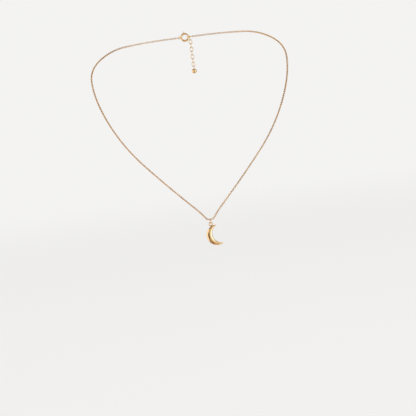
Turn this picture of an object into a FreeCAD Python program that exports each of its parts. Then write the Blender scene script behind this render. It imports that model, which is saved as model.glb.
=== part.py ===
import FreeCAD, Part
import math
import os

from FreeCAD import Placement, Rotation, Vector

# A fine cable-chain necklace with a puffed crescent pendant, held in the shape it takes round a neck.
# Millimetres. +Z is up, the pendant hangs in front on the -Y side, and the clasp is behind on the +Y side.
# The origin is in the middle of the neck, level with the chain at the nape.

doc = FreeCAD.newDocument("PendantNecklace")
sheet = doc.addObject("Spreadsheet::Sheet", "Sizes")

sizes = (
    ("neckToPendant", 85, "from the neck's middle forward to the pendant"),
    ("pendantDrop", 110, "from the nape down to the chain's lowest link"),
    ("chainLinkLength", 1.6, "chain link, outside"),
    ("chainLinkWidth", 1.2, "chain link, outside"),
    ("chainWire", 0.3, "chain link's wire"),
    ("strandSteps", 240, "links from the lowest link to each end"),
    ("clearance", 0.01, "gap between wires that rest on each other"),
    ("linkPlay", 0.02, "gap between the clasp's rings in line"),
    ("hangRingOuter", 3.4, "pendant's jump ring, outside"),
    ("hangRingWire", 0.4, "pendant's jump ring"),
    ("loopOuter", 2.7, "loop soldered to the crescent, outside"),
    ("loopWire", 0.65, "loop soldered to the crescent"),
    ("loopSide", -0.1, "from the jump ring to the loop's middle, to the right"),
    ("crescentRadius", 6.1, "crescent's outer edge"),
    ("hollowRadius", 5.65, "crescent's inner edge"),
    ("hollowShift", 3.08, "from the outer circle's middle to the inner one's"),
    ("openingAngle", 15, "the crescent opens this far above +X, degrees"),
    ("crescentSide", 2.68, "crescent's middle, right of the chain's lowest link"),
    ("crescentDrop", 9.4, "crescent's middle, below the chain's lowest link"),
    ("tipAngle", 70.5, "from the opening's line to each tip, degrees"),
    ("tipRound", 5, "degrees over which a tip rounds off"),
    ("puffEase", 0.14, "how much flatter than round the thick middle is"),
    ("shellWall", 0.3, "crescent's stamped sheet"),
    ("cavityStart", 98, "from the opening's line to the hollow's end, degrees"),
    ("claspOuter", 6, "spring ring, outside"),
    ("claspTube", 1.3, "spring ring's tube, outside"),
    ("claspBore", 0.9, "spring ring's tube, inside"),
    ("boltDiameter", 0.76, "bolt that slides in the tube"),
    ("gapStart", 30, "spring ring's gap, from +X towards +Z, degrees"),
    ("gapAngle", 30, "spring ring's gap, degrees"),
    ("boltOverlap", 4, "the shut bolt reaches this far past the gap, degrees"),
    ("boltAngle", 84, "the bolt's length, degrees"),
    ("boltTravel", 36, "the bolt slides back this far, degrees"),
    ("triggerAngle", 100, "trigger at rest, degrees"),
    ("triggerDiameter", 0.44, "trigger's stem"),
    ("triggerReach", 3.45, "from the ring's middle to the trigger's head"),
    ("triggerHead", 0.62, "trigger's round head"),
    ("slotWidth", 0.56, "trigger's slot"),
    ("slotMargin", 7, "slot beyond the trigger's middle at each end, degrees"),
    ("springWire", 0.12, "clasp's spring"),
    ("springOuter", 0.76, "clasp's spring, outside"),
    ("springTurns", 9, "clasp's spring"),
    ("springSpare", 2, "from the shut bolt's end to the spring, degrees"),
    ("springEnd", 240, "where the spring is held in the tube, degrees"),
    ("eyeOuter", 1.9, "eye soldered to the spring ring"),
    ("eyeWire", 0.4, "eye soldered to the spring ring"),
    ("eyeSink", 0.15, "how far the eye is let into the tube's wall"),
    ("claspRingOuter", 2.3, "jump ring between the chain and the eye"),
    ("claspRingWire", 0.4, "jump ring between the chain and the eye"),
    ("endRingOuter", 4.2, "ring that the clasp shuts round"),
    ("endRingWire", 0.5, "ring that the clasp shuts round"),
    ("extenderLength", 3.4, "extender link, outside"),
    ("extenderWidth", 2.4, "extender link, outside"),
    ("extenderWire", 0.45, "extender link"),
    ("extenderLinks", 8, "links in the extender"),
    ("dropLoopOuter", 2.2, "loop on the end ball"),
    ("dropLoopWire", 0.4, "loop on the end ball"),
    ("ballDiameter", 3.2, "end ball"),
    ("ballSink", 0.15, "how far the ball's loop is let into it"),
)
for row, (alias, value, note) in enumerate(sizes, 1):
    sheet.set(f"A{row}", note)
    sheet.set(f"B{row}", str(value))
    sheet.setAlias(f"B{row}", alias)
doc.recompute()


def size(alias):
    return float(sheet.get(alias))


# The chain's line over one side, as the control points of a smooth curve: X outward from the pendant,
# Y back from it and Z up from it. The other side is its mirror image.
strandRoute = (
    (0, 0, 0),
    (1.8, 0, 0),
    (4.9, 1.9, 4.4),
    (12.7, 5.5, 12.1),
    (26.1, 12.2, 26),
    (41.8, 22.5, 43.2),
    (53.3, 38, 61.5),
    (61, 60, 80.6),
    (62.5, 86, 97),
    (48, 112, 107.8),
    (29, 129.6, 109.6),
    (16, 132.9, 110),
    (8, 133, 110),
    (0, 133, 110),
)
routeDegree = 2

upright = Rotation()
facingX = Rotation(Vector(0, 0, 1), Vector(1, 0, 0))
facingY = Rotation(Vector(0, 0, 1), Vector(0, -1, 0))
lowest = Vector(0, -size("neckToPendant"), -size("pendantDrop"))
nape = lowest + Vector(*strandRoute[-1])

subParts = []


def subPart(feature, label):
    feature.Label = label
    subParts.append(feature)


def roundRing(name, outer, wire, middle, turn):
    # A closed ring of round wire, whose axis is Z before it is turned
    ring = doc.addObject("Part::Torus", name)
    ring.setExpression("Radius1", f"(Sizes.{outer} - Sizes.{wire}) / 2")
    ring.setExpression("Radius2", f"Sizes.{wire} / 2")
    ring.Placement = Placement(middle, turn)
    return ring


def ovalLink(name, length, width, wire, place):
    # An oval link of round wire, long along X and flat in XY before it is placed
    bend = f"(Sizes.{width} - Sizes.{wire}) / 2"
    straight = f"(Sizes.{length} - Sizes.{width})"
    pieces = []
    for side in (1, -1):
        end = doc.addObject("Part::Torus", f"{name}_bend")
        end.setExpression("Radius1", bend)
        end.setExpression("Radius2", f"Sizes.{wire} / 2")
        end.Angle3 = 180
        end.Placement = Placement(Vector(), Rotation(Vector(0, 0, 1), -90 * side))
        end.setExpression("Placement.Base.x", f"{side} * {straight} / 2")
        run = doc.addObject("Part::Cylinder", f"{name}_run")
        run.setExpression("Radius", f"Sizes.{wire} / 2")
        run.setExpression("Height", straight)
        run.Placement = Placement(Vector(), facingX)
        run.setExpression("Placement.Base.x", f"-1 * {straight} / 2")
        run.setExpression("Placement.Base.y", f"{side} * {bend}")
        pieces += [end, run]
    link = doc.addObject("Part::MultiFuse", name)
    link.Shapes = pieces
    link.Refine = True
    link.Placement = place
    return link


def cutFrom(name, base, tool):
    cut = doc.addObject("Part::Cut", name)
    cut.Base = base
    cut.Tool = tool
    return cut


# Chain: alternate links stand upright and lie flat along the line, each one hooked through the next.


def strandCurve(side):
    points = [lowest + Vector(side * x, y, z) for x, y, z in strandRoute]
    spans = len(points) - routeDegree
    ends = routeDegree + 1
    curve = Part.BSplineCurve()
    curve.buildFromPolesMultsKnots(
        points, [ends] + [1] * (spans - 1) + [ends], range(spans + 1), False, routeDegree
    )
    return curve


def linkTurn(along, number):
    # Long axis on the line; even links stand in the upright plane through it
    level = along.cross(Vector(0, 0, 1)).normalize()
    over = level.cross(along).normalize()
    flat = over if number % 2 else level
    return Rotation(along, flat.cross(along), flat, "ZXY")


def chainStrand(label, side, form, endReach):
    curve = strandCurve(side)
    whole = curve.length()
    steps = int(size("strandSteps"))
    pitch = (whole - endReach) / steps
    links = []
    for number in range(1, steps + 1):
        at = curve.parameterAtDistance(number * pitch)
        along = Vector(*curve.tangent(at)[0]).normalize()
        link = form.Shape.copy()
        link.Placement = Placement(curve.value(at), linkTurn(along, number))
        links.append(link)
    strand = doc.addObject("Part::Feature", label)
    strand.Shape = Part.makeCompound(links)
    subPart(strand, label)
    print(f"{label}: {steps} links, pitch {pitch:.4f}, line {whole:.2f}")


# Clasp: a spring ring in the upright plane at the nape, with the chain's ends on either side of it.
claspRadius = (size("claspOuter") - size("claspTube")) / 2
endRadius = (size("endRingOuter") - size("endRingWire")) / 2
eyeRadius = (size("eyeOuter") - size("eyeWire")) / 2
claspRingRadius = (size("claspRingOuter") - size("claspRingWire")) / 2
linkReach = (size("chainLinkLength") - size("chainWire")) / 2
play = size("linkPlay")

# Distances along X from the spring ring's middle to the middles of what hooks onto it
endRingOut = claspRadius - (size("claspTube") + size("endRingWire")) / 2 - play + endRadius
rightLinkOut = endRingOut + endRadius - (size("endRingWire") + size("chainWire")) / 2 - play + linkReach
eyeOut = (size("claspOuter") + size("eyeOuter")) / 2 - size("eyeSink")
claspRingOut = eyeOut + eyeRadius - (size("eyeWire") + size("claspRingWire")) / 2 - play + claspRingRadius
leftLinkOut = (
    claspRingOut + claspRingRadius - (size("claspRingWire") + size("chainWire")) / 2 - play + linkReach
)
strandEnd = (leftLinkOut + rightLinkOut) / 2
claspMiddle = nape + Vector((leftLinkOut - rightLinkOut) / 2, 0, 0)


def claspTorus(name, radius, start, angle):
    # A stretch of ring in the clasp's plane, its angles counted from +X towards +Z
    piece = doc.addObject("Part::Torus", name)
    piece.setExpression("Radius1", "(Sizes.claspOuter - Sizes.claspTube) / 2")
    piece.setExpression("Radius2", radius)
    piece.setExpression("Angle3", angle)
    turn = Rotation(Vector(0, 0, 1), start)
    piece.Placement = Placement(claspMiddle, facingY * turn)
    return piece


def claspSector(name, radius, height, start, angle):
    piece = doc.addObject("Part::Cylinder", name)
    piece.Radius = radius
    piece.setExpression("Height", height)
    piece.Angle = angle
    turn = Rotation(Vector(0, 0, 1), start)
    middle = claspMiddle + Vector(0, size("slotWidth") / 2, 0)
    piece.Placement = Placement(middle, facingY * turn)
    return piece


def makeClasp():
    gapEnd = size("gapStart") + size("gapAngle")
    outside = claspTorus("clasp_outside", "Sizes.claspTube / 2", gapEnd, "360 - Sizes.gapAngle")
    bore = claspTorus("clasp_bore", "Sizes.claspBore / 2", 0, "360")
    slotStart = size("triggerAngle") - size("slotMargin")
    slotAngle = size("boltTravel") + 2 * size("slotMargin")
    beyond = size("claspOuter")
    slab = claspSector("slot_slab", beyond, "Sizes.slotWidth", slotStart, slotAngle)
    core = claspSector("slot_core", claspRadius, "Sizes.slotWidth", 0, 360)
    slot = cutFrom("slot", slab, core)
    hollow = cutFrom("clasp_hollow", outside, bore)
    subPart(cutFrom("clasp_tube", hollow, slot), "clasp_spring_ring")

    boltStart = size("gapStart") - size("boltOverlap")
    bolt = claspTorus("clasp_bolt", "Sizes.boltDiameter / 2", boltStart, "Sizes.boltAngle")
    subPart(bolt, "clasp_bolt")

    angle = math.radians(size("triggerAngle"))
    outward = Vector(math.cos(angle), 0, math.sin(angle))
    stem = doc.addObject("Part::Cylinder", "trigger_stem")
    stem.setExpression("Radius", "Sizes.triggerDiameter / 2")
    stem.setExpression("Height", "Sizes.triggerReach - (Sizes.claspOuter - Sizes.claspTube) / 2")
    stem.Placement = Placement(claspMiddle + outward * claspRadius, Rotation(Vector(0, 0, 1), outward))
    head = doc.addObject("Part::Sphere", "trigger_head")
    head.setExpression("Radius", "Sizes.triggerHead / 2")
    head.Placement = Placement(claspMiddle + outward * size("triggerReach"), upright)
    trigger = doc.addObject("Part::MultiFuse", "trigger_whole")
    trigger.Shapes = [stem, head]
    core = claspTorus("trigger_seat", "Sizes.boltDiameter / 2", boltStart, "Sizes.boltAngle")
    subPart(cutFrom("clasp_trigger", trigger, core), "clasp_trigger")

    eyeMiddle = claspMiddle - Vector(eyeOut, 0, 0)
    eye = roundRing("eye_whole", "eyeOuter", "eyeWire", eyeMiddle, facingY)
    seat = claspTorus("eye_seat", "Sizes.claspTube / 2", 0, "360")
    subPart(cutFrom("clasp_eye", eye, seat), "clasp_eye")

    ringMiddle = claspMiddle - Vector(claspRingOut, 0, 0)
    ring = roundRing("clasp_jump_ring", "claspRingOuter", "claspRingWire", ringMiddle, upright)
    subPart(ring, "clasp_jump_ring")


def biarc(start, startHeading, end, endHeading):
    # Two arcs that leave one point and reach the other along the given headings
    chord = end - start
    both = startHeading + endHeading
    opening = 2 * (1 - startHeading.dot(endHeading))
    along = chord.dot(both)
    reach = (math.sqrt(along**2 + opening * chord.dot(chord)) - along) / opening
    first = start + startHeading * reach
    last = end - endHeading * reach
    meeting = (first + last) / 2
    arcs = []
    for near, corner, far in ((start, first, meeting), (meeting, last, end)):
        middle = (near + far) / 2
        half = (far - near).Length / 2
        rise = (corner - middle).Length
        bulge = half * math.tan(math.atan2(rise, half) / 2)
        arcs.append(Part.Arc(near, middle + (corner - middle).normalize() * bulge, far).toShape())
    return arcs


def makeClaspSpring():
    # The spring's coil winds round the bore's curved middle line, from behind the bolt to where it is held
    boltBack = size("gapStart") - size("boltOverlap") + size("boltAngle")
    start = math.radians(boltBack + size("springSpare"))
    sweep = math.radians(size("springEnd")) - start
    coil = (size("springOuter") - size("springWire")) / 2
    arcsPerTurn = 4
    steps = int(size("springTurns")) * arcsPerTurn

    def coilPoint(step):
        along = start + sweep * step / steps
        turned = 2 * math.pi * step / arcsPerTurn
        reach = claspRadius + coil * math.cos(turned)
        return claspMiddle + Vector(reach * math.cos(along), coil * math.sin(turned), reach * math.sin(along))

    def coilHeading(step):
        little = 0.01
        return (coilPoint(step + little) - coilPoint(step - little)).normalize()

    arcs = []
    for step in range(steps):
        arcs += biarc(coilPoint(step), coilHeading(step), coilPoint(step + 1), coilHeading(step + 1))
    section = Part.Wire([Part.Circle(coilPoint(0), coilHeading(0), size("springWire") / 2).toShape()])
    spring = doc.addObject("Part::Feature", "clasp_spring")
    spring.Shape = Part.Wire(arcs).makePipeShell([section], True, False)
    subPart(spring, "clasp_spring")
    wire = sum(arc.Length for arc in arcs)
    expected = wire * math.pi * size("springWire") ** 2 / 4
    apart = sweep * (claspRadius - coil) / size("springTurns") - size("springWire")
    print(f"clasp spring: wire {wire:.3f}, volume expected {expected:.4f}, least gap about {apart:.2f}")


def makeExtender():
    # The ring that the clasp shuts round lies level; the extender hangs from its rearmost point
    ringMiddle = claspMiddle + Vector(endRingOut, 0, 0)
    subPart(roundRing("end_ring", "endRingOuter", "endRingWire", ringMiddle, upright), "end_ring")
    reach = (size("extenderLength") - size("extenderWire")) / 2
    held = ringMiddle + Vector(0, endRadius, 0)
    heldWire = size("endRingWire")
    hanging = Rotation(Vector(0, 1, 0), 90)
    quarter = Rotation(Vector(0, 0, 1), 90)
    onEdge = Rotation(Vector(1, 0, 0), 90)
    for number in range(1, int(size("extenderLinks")) + 1):
        rest = (heldWire + size("extenderWire")) / 2 + size("clearance")
        middle = held + Vector(0, 0, rest - reach)
        turn = quarter * hanging if number % 2 else hanging
        label = f"extender_link_{number:02d}"
        place = Placement(middle, turn * onEdge)
        subPart(ovalLink(label, "extenderLength", "extenderWidth", "extenderWire", place), label)
        print(f"{label} turns about {'X' if number % 2 else 'Y'} at", tuple(round(v, 4) for v in held))
        held = middle - Vector(0, 0, reach)
        heldWire = size("extenderWire")

    loopRadius = (size("dropLoopOuter") - size("dropLoopWire")) / 2
    rest = (heldWire + size("dropLoopWire")) / 2 + size("clearance")
    loopMiddle = held + Vector(0, 0, rest - loopRadius)
    loop = roundRing("drop_loop_whole", "dropLoopOuter", "dropLoopWire", loopMiddle, facingX)
    print("end ball turns about X at", tuple(round(v, 4) for v in held))
    ballDrop = (size("dropLoopOuter") + size("ballDiameter")) / 2 - size("ballSink")
    ball = doc.addObject("Part::Sphere", "end_ball")
    ball.setExpression("Radius", "Sizes.ballDiameter / 2")
    ball.Placement = Placement(loopMiddle - Vector(0, 0, ballDrop), upright)
    subPart(ball, "extender_end_ball")
    subPart(cutFrom("drop_loop", loop, ball), "extender_ball_loop")


# Pendant: a hollow crescent of two stamped halves, a loop on its shoulder and a jump ring through the loop.
crescentMiddle = lowest + Vector(size("crescentSide"), 0, -size("crescentDrop"))


def crescentWidth(angle):
    # The band's width where a line at this angle to the opening's line crosses it, in radians
    shift = size("hollowShift")
    across = shift * math.sin(angle)
    inner = shift * math.cos(angle) + math.sqrt(size("hollowRadius") ** 2 - across**2)
    return size("crescentRadius") - inner


def crescentSection(degrees, taper, inset):
    # An ellipse across the band: taper narrows it at a tip, inset is the sheet's thickness
    angle = math.radians(degrees)
    width = crescentWidth(angle)
    fullest = crescentWidth(math.pi)
    half = width / 2 * taper - inset
    depth = width * taper * (0.5 - size("puffEase") * width / fullest) - inset
    heading = angle + math.radians(size("openingAngle"))
    outward = Vector(math.cos(heading), 0, math.sin(heading))
    middle = crescentMiddle + outward * (size("crescentRadius") - width / 2)
    ellipse = Part.Ellipse(middle + outward * half, middle - Vector(0, depth, 0), middle)
    quarter = math.pi / 2
    return Part.Wire([ellipse.toShape(turn * quarter, (turn + 1) * quarter) for turn in range(4)])


def bandPoint(degrees):
    angle = math.radians(degrees)
    heading = angle + math.radians(size("openingAngle"))
    reach = size("crescentRadius") - crescentWidth(angle) / 2
    return crescentMiddle + Vector(math.cos(heading), 0, math.sin(heading)) * reach


def crescentLoft(name, start, stations, taperOver, inset):
    # Sections from one end to the other, closed to a point at both ends
    half = [start + step for step in stations]
    angles = half + [360 - angle for angle in reversed(half) if angle < 180]

    def taper(angle):
        past = min(angle, 360 - angle) - start
        return 1 if past >= taperOver else math.sqrt(1 - (1 - past / taperOver) ** 2)

    sections = [crescentSection(angle, taper(angle), inset) for angle in angles]
    ends = [Part.Vertex(bandPoint(start)), Part.Vertex(bandPoint(360 - start))]
    loft = doc.addObject("Part::Feature", name)
    loft.Shape = Part.makeLoft([ends[0], *sections, ends[1]], True)
    return loft


# Where the band's sections stand, in degrees past a tip and past the hollow's end, closest at the tip;
# the last of each is in the band's middle
bandStations = (0.5, 1.5, 3, 5, 9, 16, 26, 40, 58, 78, 111)
cavityStations = (2, 5, 10, 20, 35, 55, 82)


def makePendant():
    tipRound = size("tipRound")
    whole = crescentLoft("crescent_whole", size("tipAngle"), bandStations, tipRound, 0)
    cavity = crescentLoft("cavity", size("cavityStart"), cavityStations, tipRound, size("shellWall"))
    shell = cutFrom("crescent_shell", whole, cavity)
    reach = 2 * size("crescentRadius")
    for label, side in (("crescent_front_shell", -1), ("crescent_back_shell", 1)):
        half = doc.addObject("Part::Box", f"{label}_side")
        half.Length = 2 * reach
        half.Width = reach
        half.Height = 2 * reach
        corner = crescentMiddle - Vector(reach, reach if side < 0 else 0, reach)
        half.Placement = Placement(corner, upright)
        common = doc.addObject("Part::Common", label)
        common.Base = shell
        common.Tool = half
        subPart(common, label)

    ringRadius = (size("hangRingOuter") - size("hangRingWire")) / 2
    topWire = (size("chainLinkWidth") - size("chainWire")) / 2
    rest = (size("chainWire") + size("hangRingWire")) / 2 + size("clearance")
    ringPivot = lowest + Vector(0, 0, topWire)
    ringMiddle = ringPivot + Vector(0, 0, rest - ringRadius)
    ring = roundRing("hang_ring", "hangRingOuter", "hangRingWire", ringMiddle, facingX)
    subPart(ring, "pendant_jump_ring")
    print("jump ring turns about X at", tuple(round(v, 4) for v in ringPivot))

    loopRadius = (size("loopOuter") - size("loopWire")) / 2
    held = ringMiddle - Vector(0, 0, ringRadius)
    play = loopRadius - (size("loopWire") + size("hangRingWire")) / 2 - size("clearance")
    side = size("loopSide")
    loopMiddle = held + Vector(side, 0, -math.sqrt(play**2 - side**2))
    loop = roundRing("loop_whole", "loopOuter", "loopWire", loopMiddle, facingY)
    subPart(cutFrom("loop", loop, whole), "pendant_loop")
    print("pendant turns about Y at", tuple(round(v, 4) for v in held))


def makeChain():
    form = ovalLink("link_form", "chainLinkLength", "chainLinkWidth", "chainWire", Placement())
    place = Placement(lowest, linkTurn(Vector(1, 0, 0), 0))
    centre = ovalLink("centre_link", "chainLinkLength", "chainLinkWidth", "chainWire", place)
    subPart(centre, "chain_centre_link")
    doc.recompute()
    chainStrand("chain_left", -1, form, strandEnd)
    chainStrand("chain_right", 1, form, strandEnd)


makePendant()
makeChain()
makeClasp()
makeClaspSpring()
makeExtender()
doc.recompute()

for item in doc.Objects:
    if "Invalid" in item.State or "Error" in item.State:
        raise RuntimeError(f"{item.Label} failed: {item.State}")
for item in subParts:
    if item.Shape.isNull() or not item.Shape.isValid() or not item.Shape.Solids:
        raise RuntimeError(f"{item.Label} has no valid solid")

os.makedirs("parts", exist_ok=True)
for item in subParts:
    item.Shape.exportStep(f"parts/{item.Label}.step")
    print(item.Label, len(item.Shape.Solids), "solids", round(item.Shape.Volume, 4), "mm3")
print("clasp turns about -Y at", tuple(round(v, 4) for v in claspMiddle))
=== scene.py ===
import math
import random

import bmesh
import bpy
import numpy as np
from mathutils import Matrix, Vector


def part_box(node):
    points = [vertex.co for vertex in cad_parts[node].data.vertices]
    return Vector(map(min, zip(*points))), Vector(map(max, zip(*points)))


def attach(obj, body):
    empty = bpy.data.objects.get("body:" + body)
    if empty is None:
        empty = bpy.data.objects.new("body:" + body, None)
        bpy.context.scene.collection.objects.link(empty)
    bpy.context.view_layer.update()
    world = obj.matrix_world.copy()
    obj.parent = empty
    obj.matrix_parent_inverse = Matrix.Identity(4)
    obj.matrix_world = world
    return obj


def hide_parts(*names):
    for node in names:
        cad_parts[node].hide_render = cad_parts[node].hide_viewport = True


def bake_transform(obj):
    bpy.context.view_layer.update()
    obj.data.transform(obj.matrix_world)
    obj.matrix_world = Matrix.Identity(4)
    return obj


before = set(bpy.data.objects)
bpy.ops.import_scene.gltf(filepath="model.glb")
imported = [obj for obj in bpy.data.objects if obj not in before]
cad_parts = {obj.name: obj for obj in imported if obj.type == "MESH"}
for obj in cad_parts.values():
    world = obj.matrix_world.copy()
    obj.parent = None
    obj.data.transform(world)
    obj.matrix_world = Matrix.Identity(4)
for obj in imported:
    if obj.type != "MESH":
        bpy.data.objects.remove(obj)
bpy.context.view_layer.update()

mm = 0.001
scene = bpy.context.scene
lowestLink = Vector((0, -85, -110)) * mm  # where the chain hangs lowest, at the pendant

# camera: the photograph looks slightly down at the pendant and leans to one side

camera = {
    "distance": 1.0,
    "turnRight": -0.5,
    "lookDown": 5.0,
    "lean": 7.6,
    "millimetresPerPixel": 0.59,
    "lowestLinkAt": (210.4, 219.7),
    "pictureSide": 416,
    "sensor": 36.0,
}


def makeCamera(look):
    turn, down, lean = (math.radians(look[k]) for k in ("turnRight", "lookDown", "lean"))
    right = Vector((math.cos(turn), math.sin(turn), 0))
    forward = Vector((-math.sin(turn) * math.cos(down), math.cos(turn) * math.cos(down), -math.sin(down)))
    up = right.cross(forward)
    leanRight = right * math.cos(lean) - up * math.sin(lean)
    leanUp = right * math.sin(lean) + up * math.cos(lean)
    pixel = look["millimetresPerPixel"] * mm
    aside = (look["lowestLinkAt"][0] - look["pictureSide"] / 2) * pixel
    below = (look["lowestLinkAt"][1] - look["pictureSide"] / 2) * pixel
    data = bpy.data.cameras.new("photoCamera")
    data.sensor_width = look["sensor"]
    data.lens = look["sensor"] * look["distance"] / (pixel * look["pictureSide"])
    data.clip_start, data.clip_end = 0.05, 50
    item = bpy.data.objects.new("photoCamera", data)
    place = lowestLink - forward * look["distance"] - leanRight * aside + leanUp * below
    turned = Matrix((leanRight, leanUp, -forward)).transposed()
    item.matrix_world = Matrix.Translation(place) @ turned.to_4x4()
    scene.collection.objects.link(item)
    scene.camera = item


makeCamera(camera)
print("camera placed")

# mesh helpers: rings, links and tubes are all swept sections


def makePiece(name, points, faces, body, node, marks=None, sharp=45):
    mesh = bpy.data.meshes.new(name)
    mesh.from_pydata([tuple(p) for p in points], [], faces)
    shaped = bmesh.new()
    shaped.from_mesh(mesh)
    bmesh.ops.recalc_face_normals(shaped, faces=shaped.faces[:])
    shaped.to_mesh(mesh)
    shaped.free()
    mesh.polygons.foreach_set("use_smooth", [True] * len(mesh.polygons))
    mesh.set_sharp_from_angle(angle=math.radians(sharp))
    for mark in ("rub", "soilAndShade", "tone"):  # wear, dirt with painted shade in corners and bores, and how each link differs
        values = (marks or {}).get(mark)
        if values is None:
            values = np.zeros(len(mesh.vertices))
        layer = mesh.attributes.new(mark, "FLOAT", "POINT")
        layer.data.foreach_set("value", np.asarray(values, np.float32))
    mesh.update()
    item = bpy.data.objects.new(name, mesh)
    scene.collection.objects.link(item)
    if body:  # the spring has none, because it closes up between two
        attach(item, body)
    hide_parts(node)
    return item


def sweep(middles, outs, ups, radii, sides, closed):
    # round sections on a line: outs and ups are the two directions across it
    middles, outs, ups = (np.asarray(v, float) for v in (middles, outs, ups))
    radii = np.broadcast_to(np.asarray(radii, float), (len(middles),))
    turn = np.arange(sides) * 2 * math.pi / sides
    across = np.cos(turn)[None, :, None] * outs[:, None, :] + np.sin(turn)[None, :, None] * ups[:, None, :]
    points = (middles[:, None, :] + radii[:, None, None] * across).reshape(-1, 3)
    count = len(middles)
    faces = []
    for i in range(count if closed else count - 1):
        a, b = i * sides, (i + 1) % count * sides
        for j in range(sides):
            k = (j + 1) % sides
            faces.append((a + j, b + j, b + k, a + k))
    if not closed:
        points = np.vstack([points, middles[:1], middles[-1:]])
        first, last = len(points) - 2, len(points) - 1
        end = (count - 1) * sides
        for j in range(sides):
            k = (j + 1) % sides
            faces.append((first, j, k))
            faces.append((last, end + k, end + j))
    return points, faces


def lathe(profile, middle, axis, sides=40):
    # profile: (radius, height) from one pole to the other
    axis = Vector(axis).normalized()
    side = axis.orthogonal().normalized()
    other = axis.cross(side)
    points, rows = [], []
    for radius, height in profile:
        if radius < 1e-9:
            rows.append([len(points)] * sides)
            points.append(middle + axis * height)
            continue
        rows.append([len(points) + j for j in range(sides)])
        for j in range(sides):
            turn = 2 * math.pi * j / sides
            points.append(middle + axis * height + (side * math.cos(turn) + other * math.sin(turn)) * radius)
    return points, bridge(rows, True)


def bridge(rows, closed):
    faces = []
    for lower, upper in zip(rows, rows[1:]):
        spans = len(lower) if closed else len(lower) - 1
        for j in range(spans):
            k = (j + 1) % len(lower)
            corners = []
            for corner in (lower[j], lower[k], upper[k], upper[j]):
                if corner not in corners:
                    corners.append(corner)
            if len(corners) > 2:
                faces.append(tuple(corners))
    return faces


def nodeMiddle(node):
    low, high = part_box(node)
    return (low + high) / 2


def bump(distance, width):
    return np.exp(-((np.asarray(distance) / width) ** 2))


planes = {  # a ring's two directions
    "XZ": (Vector((1, 0, 0)), Vector((0, 0, 1))),
    "YZ": (Vector((0, 1, 0)), Vector((0, 0, 1))),
    "XY": (Vector((1, 0, 0)), Vector((0, 1, 0))),
}


snip = {"bevel": 0.25, "shoulderAt": 0.35, "faceShare": 0.86, "shoulderShare": 0.95}  # how a cut wire narrows


def wireRing(ring, middle):
    # a bent wire ring with its hairline closing cut, and a thicker foot where it is soldered on
    u, w = (np.array(v) for v in planes[ring["plane"]])
    normal = np.cross(u, w)
    radius, thick = ring["radius"] * mm, ring["wire"] / 2 * mm
    if "cut" in ring:
        gap = ring["gap"] / ring["radius"] / 2
        edge = snip["bevel"] * ring["wire"] / ring["radius"] / 2
        shoulder = edge * snip["shoulderAt"]
        start, end = gap, 2 * math.pi - gap
        inner = np.linspace(start + edge, end - edge, ring["steps"])
        angles = np.concatenate([[start, start + shoulder], inner, [end - shoulder, end]])
        radii = np.full(len(angles), thick)
        radii[[0, -1]] *= snip["faceShare"]
        radii[[1, -2]] *= snip["shoulderShare"]
        angles = angles + math.radians(ring["cut"])
        # painted shade and dirt: the wire darkens towards both faces of its closing cut
        soilAndShade = bump(np.minimum(angles - angles[0], angles[-1] - angles), 0.12)
    else:
        angles = np.arange(ring["steps"]) * 2 * math.pi / ring["steps"]
        radii = np.full(len(angles), thick)
        soilAndShade = np.zeros(len(angles))
    if "foot" in ring:
        away = np.abs((angles - math.radians(ring["foot"]) + math.pi) % (2 * math.pi) - math.pi)
        radii = radii * (1 + ring["swell"] * bump(away, math.radians(ring["footSpread"])))
        # painted shade and dirt where the foot is soldered on
        soilAndShade = np.maximum(soilAndShade, 0.8 * bump(away, math.radians(ring["footSpread"] * 0.8)))
    outs = np.cos(angles)[:, None] * u + np.sin(angles)[:, None] * w
    middles = np.array(middle) + outs * radius
    ups = np.repeat(normal[None], len(angles), 0)
    points, faces = sweep(middles, outs, ups, radii, ring["sides"], "cut" not in ring)
    turn = np.arange(ring["sides"]) * 2 * math.pi / ring["sides"]
    inside = np.clip(-np.cos(turn), 0, 1) ** 2  # the bore of the ring is where other wires rub
    bears = np.abs(np.sin(angles)) ** 6 if ring["plane"] != "XY" else np.abs(np.cos(angles)) ** 6
    rub = (bears[:, None] * inside[None, :]).ravel()
    soilAndShade = np.repeat(soilAndShade, ring["sides"])
    spare = len(points) - len(rub)
    # the end-cap points take the full painted shade and dirt
    return points, faces, {"rub": np.append(rub, np.zeros(spare)), "soilAndShade": np.append(soilAndShade, np.ones(spare))}


# materials


def addNode(tree, kind, place=(0, 0), **values):
    node = tree.nodes.new(kind)
    node.location = place
    for key, value in values.items():
        if hasattr(node, key):
            setattr(node, key, value)
        else:
            node.inputs[key.replace("_", " ")].default_value = value
    return node


def makeGroup(name, inputs, outputs):
    group = bpy.data.node_groups.new(name, "ShaderNodeTree")
    for label, kind, value in inputs:
        socket = group.interface.new_socket(label, in_out="INPUT", socket_type=kind)
        socket.default_value = value
    for label, kind in outputs:
        group.interface.new_socket(label, in_out="OUTPUT", socket_type=kind)
    return group, group.nodes.new("NodeGroupInput"), group.nodes.new("NodeGroupOutput")


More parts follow.
